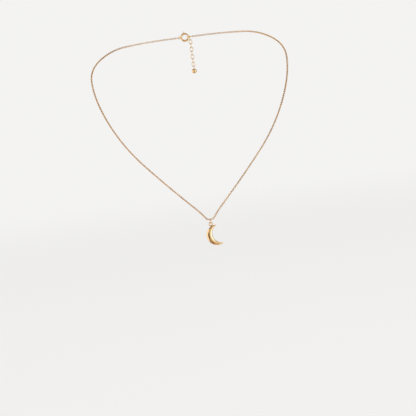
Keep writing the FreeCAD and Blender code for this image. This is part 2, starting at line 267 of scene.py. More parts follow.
def makePolishGroup():
    # hairline marks of the polishing mop, running two ways, and the soft prints of handling
    group, given, put = makeGroup(
        "handledPolish",
        [("Scratch Scale", "NodeSocketFloat", 1.0), ("Smudge Scale", "NodeSocketFloat", 1.0),
         ("Stretch", "NodeSocketVector", (1.0, 14.0, 1.0))],
        [("Scratches", "NodeSocketFloat"), ("Smudges", "NodeSocketFloat"), ("Unevenness", "NodeSocketFloat")],
    )
    link = group.links.new
    where = group.nodes.new("ShaderNodeTexCoord")
    lines = []
    for turn in (0.35, -0.9):
        turned = addNode(group, "ShaderNodeMapping", vector_type="POINT")
        turned.inputs["Rotation"].default_value = (turn, 0.4 * turn, 1.3 * turn)
        link(where.outputs["Object"], turned.inputs["Vector"])
        stretched = addNode(group, "ShaderNodeVectorMath", operation="MULTIPLY")
        link(turned.outputs["Vector"], stretched.inputs[0])
        link(given.outputs["Stretch"], stretched.inputs[1])
        noise = addNode(group, "ShaderNodeTexNoise", Detail=3.0, Roughness=0.6)
        link(stretched.outputs["Vector"], noise.inputs["Vector"])
        link(given.outputs["Scratch Scale"], noise.inputs["Scale"])
        thin = addNode(group, "ShaderNodeMapRange", interpolation_type="SMOOTHSTEP")
        thin.inputs["From Min"].default_value, thin.inputs["From Max"].default_value = 0.57, 0.66
        link(noise.outputs["Fac"], thin.inputs["Value"])
        lines.append(thin.outputs["Result"])
    both = addNode(group, "ShaderNodeMath", operation="MAXIMUM")
    link(lines[0], both.inputs[0])
    link(lines[1], both.inputs[1])
    link(both.outputs[0], put.inputs["Scratches"])
    smudge = addNode(group, "ShaderNodeTexNoise", Detail=4.0, Roughness=0.55)
    link(where.outputs["Object"], smudge.inputs["Vector"])
    link(given.outputs["Smudge Scale"], smudge.inputs["Scale"])
    soft = addNode(group, "ShaderNodeMapRange", interpolation_type="SMOOTHSTEP")
    soft.inputs["From Min"].default_value, soft.inputs["From Max"].default_value = 0.42, 0.68
    link(smudge.outputs["Fac"], soft.inputs["Value"])
    link(soft.outputs["Result"], put.inputs["Smudges"])
    wave = addNode(group, "ShaderNodeTexNoise", Detail=1.5, Scale=900.0)
    link(where.outputs["Object"], wave.inputs["Vector"])
    link(wave.outputs["Fac"], put.inputs["Unevenness"])
    return group


def makeWearDirtShadeGroup():
    # the plate's rubbed places, and the dirt with painted shade in corners, bores and seams, both broken up
    # by fine noise
    group, given, put = makeGroup(
        "wearDirtAndShade",
        [("Grain Scale", "NodeSocketFloat", 9000.0)],
        [("Rubbed", "NodeSocketFloat"), ("DirtAndShade", "NodeSocketFloat"), ("Piece Tone", "NodeSocketFloat")],
    )
    link = group.links.new
    where = group.nodes.new("ShaderNodeTexCoord")
    noise = addNode(group, "ShaderNodeTexNoise", Detail=3.0, Roughness=0.65)
    link(where.outputs["Object"], noise.inputs["Vector"])
    link(given.outputs["Grain Scale"], noise.inputs["Scale"])
    for mark, label, low, high in (("rub", "Rubbed", 0.25, 0.75), ("soilAndShade", "DirtAndShade", 0.2, 0.7)):
        layer = addNode(group, "ShaderNodeAttribute", attribute_name=mark)
        ragged = addNode(group, "ShaderNodeMapRange")
        ragged.inputs["From Min"].default_value, ragged.inputs["From Max"].default_value = low, high
        ragged.inputs["To Min"].default_value, ragged.inputs["To Max"].default_value = 0.55, 1.0
        link(noise.outputs["Fac"], ragged.inputs["Value"])
        times = addNode(group, "ShaderNodeMath", operation="MULTIPLY", use_clamp=True)
        link(layer.outputs["Fac"], times.inputs[0])
        link(ragged.outputs["Result"], times.inputs[1])
        link(times.outputs[0], put.inputs[label])
    tone = addNode(group, "ShaderNodeAttribute", attribute_name="tone")
    link(tone.outputs["Fac"], put.inputs["Piece Tone"])
    return group


polishGroup = makePolishGroup()
wearDirtShadeGroup = makeWearDirtShadeGroup()


def makeMetal(name, look):
    material = bpy.data.materials.new(name)
    material.use_nodes = True
    tree = material.node_tree
    tree.nodes.clear()
    link = tree.links.new
    out = addNode(tree, "ShaderNodeOutputMaterial", (900, 0))
    metal = addNode(tree, "ShaderNodeBsdfPrincipled", (600, 0))
    metal.inputs["Metallic"].default_value = 1.0
    metal.inputs["Specular IOR Level"].default_value = 0.5
    link(metal.outputs["BSDF"], out.inputs["Surface"])
    polish = addNode(tree, "ShaderNodeGroup", (-700, -100), node_tree=polishGroup)
    polish.inputs["Scratch Scale"].default_value = look["scratchScale"]
    polish.inputs["Smudge Scale"].default_value = look["smudgeScale"]
    polish.inputs["Stretch"].default_value = look["stretch"]
    wearDirtShade = addNode(tree, "ShaderNodeGroup", (-700, 200), node_tree=wearDirtShadeGroup)
    wearDirtShade.inputs["Grain Scale"].default_value = look["grainScale"]

    def mixIn(colour, mask, share, other, place):
        # lays another colour over the one so far, where the mask says
        scaled = addNode(tree, "ShaderNodeMath", (place[0] - 160, place[1] - 120), operation="MULTIPLY")
        scaled.inputs[1].default_value = share
        link(mask, scaled.inputs[0])
        mix = addNode(tree, "ShaderNodeMix", place, data_type="RGBA")
        link(scaled.outputs[0], mix.inputs["Factor"])
        if isinstance(colour, tuple):
            mix.inputs[6].default_value = (*colour, 1)
        else:
            link(colour, mix.inputs[6])
        mix.inputs[7].default_value = (*other, 1)
        return mix.outputs[2]

    colour = mixIn(look["colour"], wearDirtShade.outputs["Piece Tone"], 1.0, look["deepColour"], (-350, 420))
    colour = mixIn(colour, polish.outputs["Smudges"], look["smudgeTint"], look["deepColour"], (-180, 380))
    colour = mixIn(colour, wearDirtShade.outputs["Rubbed"], look["rubShare"], look["rubColour"], (0, 340))
    # dirt and painted shade darken the corners, bores, seams and joints
    colour = mixIn(colour, wearDirtShade.outputs["DirtAndShade"], look["dirtAndShadeShare"], look["dirtAndShadeColour"], (180, 300))
    link(colour, metal.inputs["Base Color"])

    def addRough(base, mask, amount, place):
        step = addNode(tree, "ShaderNodeMath", place, operation="MULTIPLY_ADD")
        step.inputs[1].default_value = amount
        if isinstance(base, float):
            step.inputs[2].default_value = base
        else:
            link(base, step.inputs[2])
        link(mask, step.inputs[0])
        return step.outputs[0]

    rough = addRough(look["roughness"], polish.outputs["Smudges"], look["smudgeRoughness"], (-180, 0))
    rough = addRough(rough, polish.outputs["Scratches"], look["scratchRoughness"], (0, 0))
    rough = addRough(rough, wearDirtShade.outputs["Rubbed"], look["rubRoughness"], (180, 0))
    rough = addRough(rough, wearDirtShade.outputs["DirtAndShade"], look["dirtRoughness"], (360, 0))
    link(rough, metal.inputs["Roughness"])

    height = addRough(0.0, polish.outputs["Scratches"], -look["scratchDepth"], (-180, -300))
    height = addRough(height, polish.outputs["Unevenness"], look["unevenness"], (0, -300))
    relief = addNode(tree, "ShaderNodeBump", (300, -300))
    relief.inputs["Strength"].default_value = look["relief"]
    relief.inputs["Distance"].default_value = 0.01 * mm
    link(height, relief.inputs["Height"])
    link(relief.outputs["Normal"], metal.inputs["Normal"])
    return material


# pale yellow gold plate over brass, in the finishes that the parts come with, and a dark colour for dirt and
# painted shade
goldFinish = {
    "colour": (0.93, 0.66, 0.33),
    "deepColour": (0.80, 0.50, 0.20),
    "rubColour": (0.97, 0.74, 0.46),
    # the dark of dirt and of painted shade, laid into corners, bores, seams and joints
    "dirtAndShadeColour": (0.16, 0.09, 0.035),
    "rubShare": 0.6,
    "dirtAndShadeShare": 0.55,
    "roughness": 0.10,
    "smudgeTint": 0.12,
    "smudgeRoughness": 0.07,
    "scratchRoughness": 0.10,
    "rubRoughness": 0.05,
    "dirtRoughness": 0.30,
    "scratchScale": 900.0,
    "smudgeScale": 420.0,
    "grainScale": 9000.0,
    "stretch": (1.0, 14.0, 1.0),
    "scratchDepth": 0.35,
    "unevenness": 1.4,
    "relief": 0.35,
}
finishes = {
    "pendantGold": {"roughness": 0.065, "smudgeRoughness": 0.06, "scratchRoughness": 0.07},
    # the chain takes a larger share of the dirt and painted shade at its link ends, darkening the gaps
    # between glints
    "chainGold": {
        "colour": (0.88, 0.59, 0.27), "deepColour": (0.62, 0.36, 0.13), "roughness": 0.15,
        "scratchScale": 2600.0, "smudgeTint": 0.4, "unevenness": 0.8, "dirtAndShadeShare": 0.85,
    },
    "ringGold": {"roughness": 0.12, "scratchScale": 1800.0, "stretch": (9.0, 9.0, 1.0)},
    "claspGold": {"roughness": 0.12, "scratchScale": 2600.0, "scratchDepth": 0.2},
    "extenderGold": {"roughness": 0.14, "scratchScale": 2000.0, "stretch": (1.0, 1.0, 11.0)},
    "ballGold": {"roughness": 0.08, "unevenness": 2.2, "smudgeRoughness": 0.09},
    "springSteel": {
        "colour": (0.60, 0.60, 0.62), "deepColour": (0.42, 0.42, 0.45), "rubColour": (0.75, 0.75, 0.76),
        "dirtAndShadeColour": (0.05, 0.045, 0.04), "roughness": 0.24, "scratchScale": 5000.0,
    },
}
metals = {name: makeMetal(name, {**goldFinish, **change}) for name, change in finishes.items()}
print("metals mixed:", ", ".join(metals))

# chain: upright and flat links by turns on one smooth line for each side

chain = {
    "route": (  # outward from the pendant, back from it and up from it, as in the part's source
        (0, 0, 0), (1.8, 0, 0), (4.9, 1.9, 4.4), (12.7, 5.5, 12.1), (26.1, 12.2, 26), (41.8, 22.5, 43.2),
        (53.3, 38, 61.5), (61, 60, 80.6), (62.5, 86, 97), (48, 112, 107.8), (29, 129.6, 109.6),
        (16, 132.9, 110), (8, 133, 110), (0, 133, 110),
    ),
    "endReach": 5.835,
    "links": 240,
    "length": 1.6,
    "width": 1.2,
    "wire": 0.3,
    "facet": 0.13,
    "bendSteps": 11,
    "runSteps": 3,
    "sides": 12,
    "twist": 7.0,
    "rock": 2.0,
    "seed": 31,
}


def strandLine(side):
    data = bpy.data.curves.new("strandLine", "CURVE")
    data.dimensions = "3D"
    spline = data.splines.new("NURBS")
    spline.points.add(len(chain["route"]) - 1)
    for point, (x, y, z) in zip(spline.points, chain["route"]):
        place = lowestLink + Vector((side * x, y, z)) * mm
        point.co = (*place, 1)
    spline.order_u = 3
    spline.use_endpoint_u = True
    spline.resolution_u = 96
    item = bpy.data.objects.new("strandLine", data)
    scene.collection.objects.link(item)
    bpy.context.view_layer.update()
    drawn = bpy.data.meshes.new_from_object(item)
    line = np.array([v.co for v in drawn.vertices], float)
    bpy.data.objects.remove(item)
    bpy.data.meshes.remove(drawn)
    if np.linalg.norm(line[0] - np.array(lowestLink)) > np.linalg.norm(line[-1] - np.array(lowestLink)):
        line = line[::-1]
    return line


def alongLine(line, reaches):
    # points and headings at distances along a line
    steps = np.linalg.norm(np.diff(line, axis=0), axis=1)
    run = np.concatenate([[0], np.cumsum(steps)])
    points = np.stack([np.interp(reaches, run, line[:, k]) for k in range(3)], 1)
    little = 0.05 * mm
    ahead = np.stack([np.interp(reaches + little, run, line[:, k]) for k in range(3)], 1)
    behind = np.stack([np.interp(reaches - little, run, line[:, k]) for k in range(3)], 1)
    headings = ahead - behind
    return points, headings / np.linalg.norm(headings, axis=1)[:, None]


def linkForm(link):
    # one link, long along X and flat in XY, its outside cut to a narrow facet that glints
    bend = (link["width"] - link["wire"]) / 2
    half = (link["length"] - link["width"]) / 2
    middles, outs = [], []
    for side in (1, -1):
        for k in range(link["bendSteps"] + 1):
            turn = math.pi * (k / link["bendSteps"] - 0.5)
            out = np.array((side * math.cos(turn), side * math.sin(turn), 0))
            middles.append(np.array((side * half, 0, 0)) + out * bend)
            outs.append(out)
        for k in range(1, link["runSteps"]):
            middles.append(np.array((side * half * (1 - 2 * k / link["runSteps"]), side * bend, 0)))
            outs.append(np.array((0, side, 0)))
    middles, outs = np.array(middles), np.array(outs)
    ups = np.repeat([[0.0, 0.0, 1.0]], len(middles), 0)
    points, faces = sweep(middles, outs, ups, link["wire"] / 2, link["sides"], True)
    outward = np.repeat(outs, link["sides"], 0)
    centre = np.repeat(middles, link["sides"], 0)
    proud = ((points - centre) * outward).sum(1)
    points = points - outward * np.clip(proud - link["facet"], 0, None)[:, None]
    ends = np.clip(np.abs(outward[:, 0]), 0, 1) ** 3
    rub = ends * np.clip(-proud / (link["wire"] / 2), 0, 1)
    # painted shade and dirt at the link ends, around the wire where the next link hooks through
    soilAndShade = ends * np.clip(0.6 - np.abs(proud) / link["wire"], 0, 1) * 0.8
    return points * mm, faces, rub, soilAndShade


def linkTurns(headings, numbers, rng, twist, rock):
    # even links stand in the upright plane through the line, odd ones lie across it
    turns = []
    for heading, number in zip(headings, numbers):
        along = Vector(heading)
        level = along.cross(Vector((0, 0, 1))).normalized()
        over = level.cross(along).normalized()
        flat = over if number % 2 else level
        base = Matrix((along, flat.cross(along), flat)).transposed()
        spin = Matrix.Rotation(math.radians(rng.uniform(-twist, twist)), 3, "X")
        nod = Matrix.Rotation(math.radians(rng.uniform(-rock, rock)), 3, "Y")
        turns.append(np.array(base @ spin @ nod))
    return np.array(turns)


def makeStrand(name, node, side, seed):
    line = strandLine(side)
    whole = np.linalg.norm(np.diff(line, axis=0), axis=1).sum()
    span = whole - chain["endReach"] * mm
    numbers = np.arange(1, chain["links"] + 1)
    places, headings = alongLine(line, numbers * span / chain["links"])
    rng = random.Random(seed)
    turns = linkTurns(headings, numbers, rng, chain["twist"], chain["rock"])
    turns[-1] = linkTurns(headings[-1:], numbers[-1:], rng, 0, 0)[0]
    form, formFaces, rub, soilAndShade = linkForm(chain)
    points = np.einsum("nij,pj->npi", turns, form) + places[:, None, :]
    count = len(form)
    faces = [tuple(c + n * count for c in face) for n in range(len(numbers)) for face in formFaces]
    tone = np.repeat([rng.random() ** 2 for _ in numbers], count)
    marks = {"rub": np.tile(rub, len(numbers)), "soilAndShade": np.tile(soilAndShade, len(numbers)), "tone": tone}
    piece = makePiece(name, points.reshape(-1, 3), faces, "necklace", node, marks)
    piece.data.materials.append(metals["chainGold"])
    print(f"{name}: {len(numbers)} links on {span / mm:.2f} mm")
    return piece


makeStrand("chainLeft", "chain_left", -1, chain["seed"])
makeStrand("chainRight", "chain_right", 1, chain["seed"] + 1)


def makeOvalLink(name, node, body, metal, link, middle, along, flat):
    form, faces, rub, soilAndShade = linkForm(link)
    turned = np.array(Matrix((along, flat.cross(along), flat)).transposed())
    points = form @ turned.T + np.array(middle)
    piece = makePiece(name, points, faces, body, node, {"rub": rub, "soilAndShade": soilAndShade})
    piece.data.materials.append(metals[metal])
    return piece


centreLink = {**chain, "bendSteps": 18, "runSteps": 4, "sides": 20}
makeOvalLink(
    "chainCentreLink", "chain_centre_link", "necklace", "chainGold", centreLink,
    nodeMiddle("chain_centre_link"), Vector((1, 0, 0)), Vector((0, -1, 0)),
)

# rings: bent from wire, each with its closing cut turned away from the front

rings = {
    "pendantJumpRing": {
        "node": "pendant_jump_ring", "body": "jump_ring", "plane": "YZ", "radius": 1.5, "wire": 0.4,
        "cut": 35, "gap": 0.03, "steps": 96, "sides": 24,
    },
    "claspJumpRing": {
        "node": "clasp_jump_ring", "body": "necklace", "plane": "XY", "radius": 0.95, "wire": 0.4,
        "cut": 80, "gap": 0.03, "steps": 80, "sides": 20,
    },
    "endRing": {
        "node": "end_ring", "body": "necklace", "plane": "XY", "radius": 1.85, "wire": 0.5,
        "cut": -60, "gap": 0.03, "steps": 96, "sides": 24,
    },
    "pendantLoop": {
        "node": "pendant_loop", "body": "pendant", "plane": "XZ", "radius": 1.025, "wire": 0.65,
        "foot": -67.5, "footSpread": 36, "swell": 0.2, "steps": 96, "sides": 24, "topKept": True,
    },
    "claspEye": {
        "node": "clasp_eye", "body": "necklace", "plane": "XZ", "radius": 0.75, "wire": 0.4,
        "foot": 0, "footSpread": 40, "swell": 0.2, "steps": 72, "sides": 20, "leftKept": True,
    },
    "endBallLoop": {
        "node": "extender_ball_loop", "body": "extender_drop", "plane": "YZ", "radius": 0.9, "wire": 0.4,
        "foot": -90, "footSpread": 32, "swell": 0.25, "steps": 80, "sides": 20, "topKept": True,
    },
}


def ringMiddle(ring):
    # a soldered ring's node is cut away at its foot, so its middle is found from the uncut side
    low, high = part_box(ring["node"])
    middle = (low + high) / 2
    reach = (ring["radius"] + ring["wire"] / 2) * mm
    if ring.get("topKept"):
        middle.z = high.z - reach
    if ring.get("leftKept"):
        middle.x = low.x + reach
    return middle


for name, ring in rings.items():
    points, faces, marks = wireRing(ring, ringMiddle(ring))
    piece = makePiece(name, points, faces, ring["body"], ring["node"], marks)
    piece.data.materials.append(metals["ringGold"])
print("rings bent:", len(rings))

# crescent: two stamped halves soldered edge to edge, hollow behind the sheet

crescent = {
    "middle": (2.68, -85, -119.4),
    "outerRadius": 6.1,
    "hollowRadius": 5.65,
    "hollowShift": 3.08,
    "opening": 15,
    "tipAngle": 70.5,
    "tipRound": 5,
    "fullWidth": 3.53,
    "puffEase": 0.14,
    "wall": 0.3,
    "cavityStart": 98,
    "seamDepth": 0.035,
    "seamWidth": 0.07,
    "bandSteps": 96,
    "cavitySteps": 20,
    "acrossSteps": 40,
}


def bandSection(degrees, start, inset):
    # the band's middle, half width, half depth and outward direction where an angle crosses it
    c = crescent
    angle = math.radians(degrees)
    across = c["hollowShift"] * math.sin(angle)
    inner = c["hollowShift"] * math.cos(angle) + math.sqrt(c["hollowRadius"] ** 2 - across**2)
    width = c["outerRadius"] - inner
    past = (min(degrees, 360 - degrees) - start) / c["tipRound"]
    taper = 1 if past >= 1 else math.sqrt(max(0, 1 - (1 - past) ** 2))
    half = width / 2 * taper - inset
    depth = width * taper * (0.5 - c["puffEase"] * width / c["fullWidth"]) - inset
    heading = angle + math.radians(c["opening"])
    outward = Vector((math.cos(heading), 0, math.sin(heading)))
    middle = Vector(c["middle"]) + outward * (c["outerRadius"] - width / 2)
    return middle, max(half, 0), max(depth, 0), outward


def bandAngles(start, steps):
    # close together over the rounded tips, even along the band
    tip = crescent["tipRound"]
    rounded = [start + tip * (1 - math.cos(math.pi / 2 * k / 9)) for k in range(9)]
    even = list(np.linspace(start + tip, 180, steps // 2))
    half = rounded + even
    return half + [360 - a for a in reversed(half[:-1])]


def makeHalf(name, node, side):
    c = crescent
    points, soilAndShade, rub = [], [], []

    def add(point, dirtAndShade, rubbed):
        points.append(point * mm)
        soilAndShade.append(dirtAndShade)
        rub.append(rubbed)
        return len(points) - 1

    turns = [0, 0.02, 0.045, 0.075, 0.11, 0.16, 0.22]
    turns += list(np.linspace(0.3, math.pi - 0.3, c["acrossSteps"] - 14))
    turns += [math.pi - t for t in (0.22, 0.16, 0.11, 0.075, 0.045, 0.02, 0)]
    angles = bandAngles(c["tipAngle"], c["bandSteps"])
    cavity = {round(a, 6) for a in bandAngles(c["cavityStart"], c["cavitySteps"])}
    angles = sorted({round(a, 6) for a in angles} | {a for a in cavity if a > c["tipAngle"]})
    skin, inside = [], []
    for angle in angles:
        middle, half, depth, outward = bandSection(angle, c["tipAngle"], 0)
        if half < 1e-6:
            tip = add(middle, 0, 1)
            skin.append([tip] * len(turns))
            inside.append([tip] * len(turns))
            continue
        row = []
        groove = min(c["seamDepth"], 0.08 * half)
        nearTip = math.exp(-((min(angle, 360 - angle) - c["tipAngle"]) / 9) ** 2)
        for turn in turns:
            reach = outward * half * math.cos(turn) + Vector((0, side * depth * math.sin(turn), 0))
            fromSeam = min(turn, math.pi - turn) * depth
            dip = groove * math.exp(-((fromSeam / c["seamWidth"]) ** 2))
            reach = reach * (1 - dip / max(reach.length, 1e-6))
            ridge = 0.5 * math.exp(-((min(turn, math.pi - turn) - 0.35) / 0.25) ** 2)
            # painted shade and dirt in the seam groove
            row.append(add(middle + reach, dip / c["seamDepth"], max(ridge, nearTip)))
        skin.append(row)
        # the hollow's inside takes the full painted shade and dirt
        if c["cavityStart"] < angle < 360 - c["cavityStart"]:
            middle, half, depth, outward = bandSection(angle, c["cavityStart"], c["wall"])
            if half > 0.02 and depth > 0.02:
                row = []
                for turn in turns:
                    deep = Vector((0, side * depth * math.sin(turn), 0))
                    row.append(add(middle + outward * half * math.cos(turn) + deep, 1, 0))
                inside.append(row)
                continue
        inside.append([add(middle, 1, 0)] * len(turns))
    faces = bridge(skin, False) + bridge(inside, False)
    for edge in (0, -1):  # the flat rims where the halves meet
        faces += bridge([[row[edge] for row in skin], [row[edge] for row in inside]], False)
    marks = {"soilAndShade": np.clip(soilAndShade, 0, 1), "rub": np.clip(rub, 0, 1) * 0.7}
    piece = makePiece(name, points, faces, "pendant", node, marks, sharp=60)
    piece.data.materials.append(metals["pendantGold"])
    return piece


makeHalf("crescentFront", "crescent_front_shell", -1)
makeHalf("crescentBack", "crescent_back_shell", 1)
print("crescent stamped")

# clasp: a spring ring, its bolt and trigger, and the coil behind the bolt

clasp = {
    "radius": 2.35,
    "tube": 1.3,
    "bore": 0.9,
    "gapStart": 30,
    "gapAngle": 30,
    "slotStart": 93,
    "slotEnd": 143,
    "slotWidth": 0.56,
    "boltStart": 26,
    "boltEnd": 110,
    "bolt": 0.76,
    "noseRound": 0.16,
    "heelBevel": 0.05,
    "boltSides": 28,
    "triggerAngle": 100,
    "stem": 0.44,
    "stemSunk": 0.03,
    "headReach": 3.45,
    "head": 0.62,
    "springStart": 112,
    "springEnd": 240,
    "springTurns": 9,
    "springOuter": 0.76,
    "springWire": 0.12,
    "sides": 40,
}
claspMiddle = nodeMiddle("clasp_spring_ring")


def claspPoint(angle, reach, aside=0.0):
    # angles run from +X towards +Z; aside is along +Y
    return claspMiddle + Vector((math.cos(angle) * reach, aside, math.sin(angle) * reach)) * mm


def makeClaspTube():
    c = clasp
    first, last = math.radians(c["gapStart"] + c["gapAngle"]), math.radians(c["gapStart"] + 360)
    slot = [math.radians(c["slotStart"]), math.radians(c["slotEnd"])]
    stations = list(np.linspace(first, slot[0], 14)) + list(np.linspace(slot[0], slot[1], 22))[1:]
    stations += list(np.linspace(slot[1], last, 84))[1:]
    strip = 6  # columns over the slot's width
    edges = [math.asin(c["slotWidth"] / 2 / r) for r in (c["tube"] / 2, c["bore"] / 2)]
    points, soilAndShade, rows = [], [], []
    for layer, (edge, radius) in enumerate(zip(edges, (c["tube"] / 2, c["bore"] / 2))):
        turns = list(np.linspace(-edge, edge, strip + 1))
        turns += list(np.linspace(edge, 2 * math.pi - edge, c["sides"]))[1:-1]
        grid = []
        for angle in stations:
            row = []
            for turn in turns:
                row.append(len(points))
                reach, aside = c["radius"] + radius * math.cos(turn), radius * math.sin(turn)
                points.append(claspPoint(angle, reach, aside))
                rim = min(abs(angle - slot[0]), abs(angle - slot[1]), abs(angle - first), abs(angle - last))
                # painted shade and dirt: the whole bore, and a dark line at the slot's rims and the tube's
                # ends
                soilAndShade.append(1.0 if layer else 0.7 * math.exp(-((rim / 0.06) ** 2)))
            grid.append(row)
        rows.append(grid)
    outer, inner = rows
    count = len(outer[0])
    faces = []

    def inSlot(i, j):
        middle = (stations[i] + stations[i + 1]) / 2
        return j < strip and slot[0] < middle < slot[1]

    for grid in rows:
        for i in range(len(stations) - 1):
            for j in range(count):
                if not inSlot(i, j):
                    k = (j + 1) % count
                    faces.append((grid[i][j], grid[i][k], grid[i + 1][k], grid[i + 1][j]))
    for i in range(len(stations) - 1):  # the slot's two long walls
        if inSlot(i, 0):
            for j in (0, strip):
                faces.append((outer[i][j], outer[i + 1][j], inner[i + 1][j], inner[i][j]))
    for limit in slot:  # and its two short ones
        i = min(range(len(stations)), key=lambda n: abs(stations[n] - limit))
        for j in range(strip):
            faces.append((outer[i][j], outer[i][j + 1], inner[i][j + 1], inner[i][j]))
    for i in (0, len(stations) - 1):
        for j in range(count):
            k = (j + 1) % count
            faces.append((outer[i][j], outer[i][k], inner[i][k], inner[i][j]))
    piece = makePiece(
        "claspTube", points, faces, "necklace", "clasp_spring_ring", {"soilAndShade": soilAndShade}, sharp=40,
    )
    piece.data.materials.append(metals["claspGold"])
    eased = piece.modifiers.new("easedEdges", "BEVEL")
    eased.limit_method = "ANGLE"
    eased.angle_limit = math.radians(50)
    eased.width = 0.03 * mm
    eased.segments = 2
    return piece


def makeBolt():
    c = clasp
    reach = c["bolt"] / 2
    start, end = math.radians(c["boltStart"]), math.radians(c["boltEnd"])
    nose = c["noseRound"]
    ease = nose / c["radius"]
    caps = [math.pi / 2 * k / 6 for k in range(7)]
    angles = [start + ease * (1 - math.cos(t)) for t in caps][:-1]
    radii = [reach - nose + nose * math.sin(t) for t in caps][:-1]
    body = list(np.linspace(start + ease, end - ease * 0.4, 60))
    angles += body + [end]
    radii += [reach] * len(body) + [reach - c["heelBevel"]]
    middles = [claspPoint(a, c["radius"]) for a in angles]
    outs = [(math.cos(a), 0, math.sin(a)) for a in angles]
    ups = [(0, 1, 0)] * len(angles)
    points, faces = sweep(middles, outs, ups, np.array(radii) * mm, c["boltSides"], False)
    rub = [math.exp(-(((a - start) / 0.12) ** 2)) for a in angles]
    marks = {"rub": np.append(np.repeat(rub, c["boltSides"]), [1, 0])}
    piece = makePiece("claspBolt", points, faces, "clasp_bolt", "clasp_bolt", marks, sharp=50)
    piece.data.materials.append(metals["claspGold"])
    return piece


def makeTrigger():
    c = clasp
    angle = math.radians(c["triggerAngle"])
    outward = Vector((math.cos(angle), 0, math.sin(angle)))
    foot = claspPoint(angle, c["radius"] + c["bolt"] / 2 - c["stemSunk"])
    top = c["headReach"] - c["radius"] - c["bolt"] / 2 + c["stemSunk"]
    stem, head = c["stem"] / 2, c["head"] / 2
    profile = [(0, 0), (stem, 0), (stem, 0.12), (stem * 0.94, 0.3)]
    begin = math.asin(stem * 0.94 / head)
    for k in range(15):
        turn = math.pi - begin - (math.pi - begin) * k / 14
        profile.append((head * math.sin(turn) if k < 14 else 0, top + head * math.cos(turn)))
    points, faces = lathe([(r * mm, h * mm) for r, h in profile], foot, outward, c["boltSides"])
    heights = np.array([(p - foot).dot(outward) for p in points]) / mm
    # painted shade and dirt where the stem meets the tube
    marks = {"rub": np.clip((heights - top) / head, 0, 1), "soilAndShade": bump(heights, 0.25)}
    piece = makePiece("claspTrigger", points, faces, "clasp_bolt", "clasp_trigger", marks)
    piece.data.materials.append(metals["claspGold"])
    return piece


def makeSpring():
    c = clasp
    perTurn = 18
    steps = c["springTurns"] * perTurn
    coil = (c["springOuter"] - c["springWire"]) / 2
    share = np.linspace(0, 1, steps + 1)
    along = math.radians(c["springStart"]) + math.radians(c["springEnd"] - c["springStart"]) * share
    turn = 2 * math.pi * c["springTurns"] * share
    middles = np.array([
        claspPoint(a, c["radius"] + coil * math.cos(t), coil * math.sin(t)) for a, t in zip(along, turn)
    ])
    headings = np.gradient(middles, axis=0)
    headings /= np.linalg.norm(headings, axis=1)[:, None]
    outs = np.array([
        (math.cos(a) * math.cos(t), math.sin(t), math.sin(a) * math.cos(t)) for a, t in zip(along, turn)
    ])
    outs -= (outs * headings).sum(1)[:, None] * headings
    outs /= np.linalg.norm(outs, axis=1)[:, None]
    ups = np.cross(headings, outs)
    points, faces = sweep(middles, outs, ups, c["springWire"] / 2 * mm, 8, False)
    piece = makePiece("claspSpring", points, faces, None, "clasp_spring")
    piece.data.materials.append(metals["springSteel"])
    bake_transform(piece)  # the bolt closes the coils up as it slides
    return piece


makeClaspTube()
makeBolt()
makeTrigger()
makeSpring()
print("clasp built")

# extender: eight oval links and an end ball behind the neck

extender = {
    "links": 8,
    "length": 3.4,
    "width": 2.4,
    "wire": 0.45,
    "facet": 0.225,
    "bendSteps": 20,
    "runSteps": 6,
    "sides": 20,
}
endBall = {"radius": 1.6, "collar": 0.34, "rings": 36}


def makeExtender():
    for number in range(1, extender["links"] + 1):
        node = f"extender_link_{number:02d}"
        flat = Vector((1, 0, 0)) if number % 2 else Vector((0, 1, 0))
        makeOvalLink(
            f"extenderLink{number}", node, f"extender_{number}", "extenderGold", extender,
            nodeMiddle(node), Vector((0, 0, -1)), flat,
        )


def makeEndBall():
    # a ball with the small collar of solder that holds its loop
    b = endBall
    middle = nodeMiddle("extender_end_ball")
    collarTurn = math.asin(b["collar"] / b["radius"])
    profile = [(0, b["radius"]), (b["collar"] * 0.8, b["radius"] * 0.995)]
    for k in range(b["rings"] + 1):
        turn = collarTurn * 1.25 + (math.pi - collarTurn * 1.25) * k / b["rings"]
        profile.append((b["radius"] * math.sin(turn) if k < b["rings"] else 0, b["radius"] * math.cos(turn)))
    points, faces = lathe([(r * mm, h * mm) for r, h in profile], middle, (0, 0, 1), 56)
    heights = np.array([(p - middle).z for p in points]) / mm
    # painted shade and dirt round the solder collar at the top
    marks = {"soilAndShade": bump(b["radius"] - heights, 0.12), "rub": bump(b["radius"] + heights, 0.5) * 0.6}
    piece = makePiece("endBall", points, faces, "extender_drop", "extender_end_ball", marks)
    piece.data.materials.append(metals["ballGold"])


makeExtender()
makeEndBall()
print("extender hung")

# studio: a pale floor and world, soft boxes, and cards that only the metal mirrors

studio = {
    "paleColour": (0.90, 0.895, 0.885),
    "worldFill": 0.55,
    "floorHeight": -0.165,
    "floorSide": 16.0,
    "floorShine": 0.72,
    "fadeFrom": 0.25,
    "fadeTo": 0.9,
}
softBoxes = {  # where each stands, seen from the pendant: degrees right of the front, degrees up
    "keyBox": {
        "right": 52, "up": 40, "distance": 1.2, "size": (0.6, 0.6), "radiance": 2.6,
        "colour": (1, 0.985, 0.95),
    },
    "topBox": {
        "right": 10, "up": 82, "distance": 1.2, "size": (1.0, 1.0), "radiance": 0.9,
        "colour": (1, 1, 1),
    },
    "leftBox": {
        "right": -78, "up": 34, "distance": 1.3, "size": (0.9, 0.9), "radiance": 0.9,
        "colour": (1, 0.97, 0.93),
    },
}
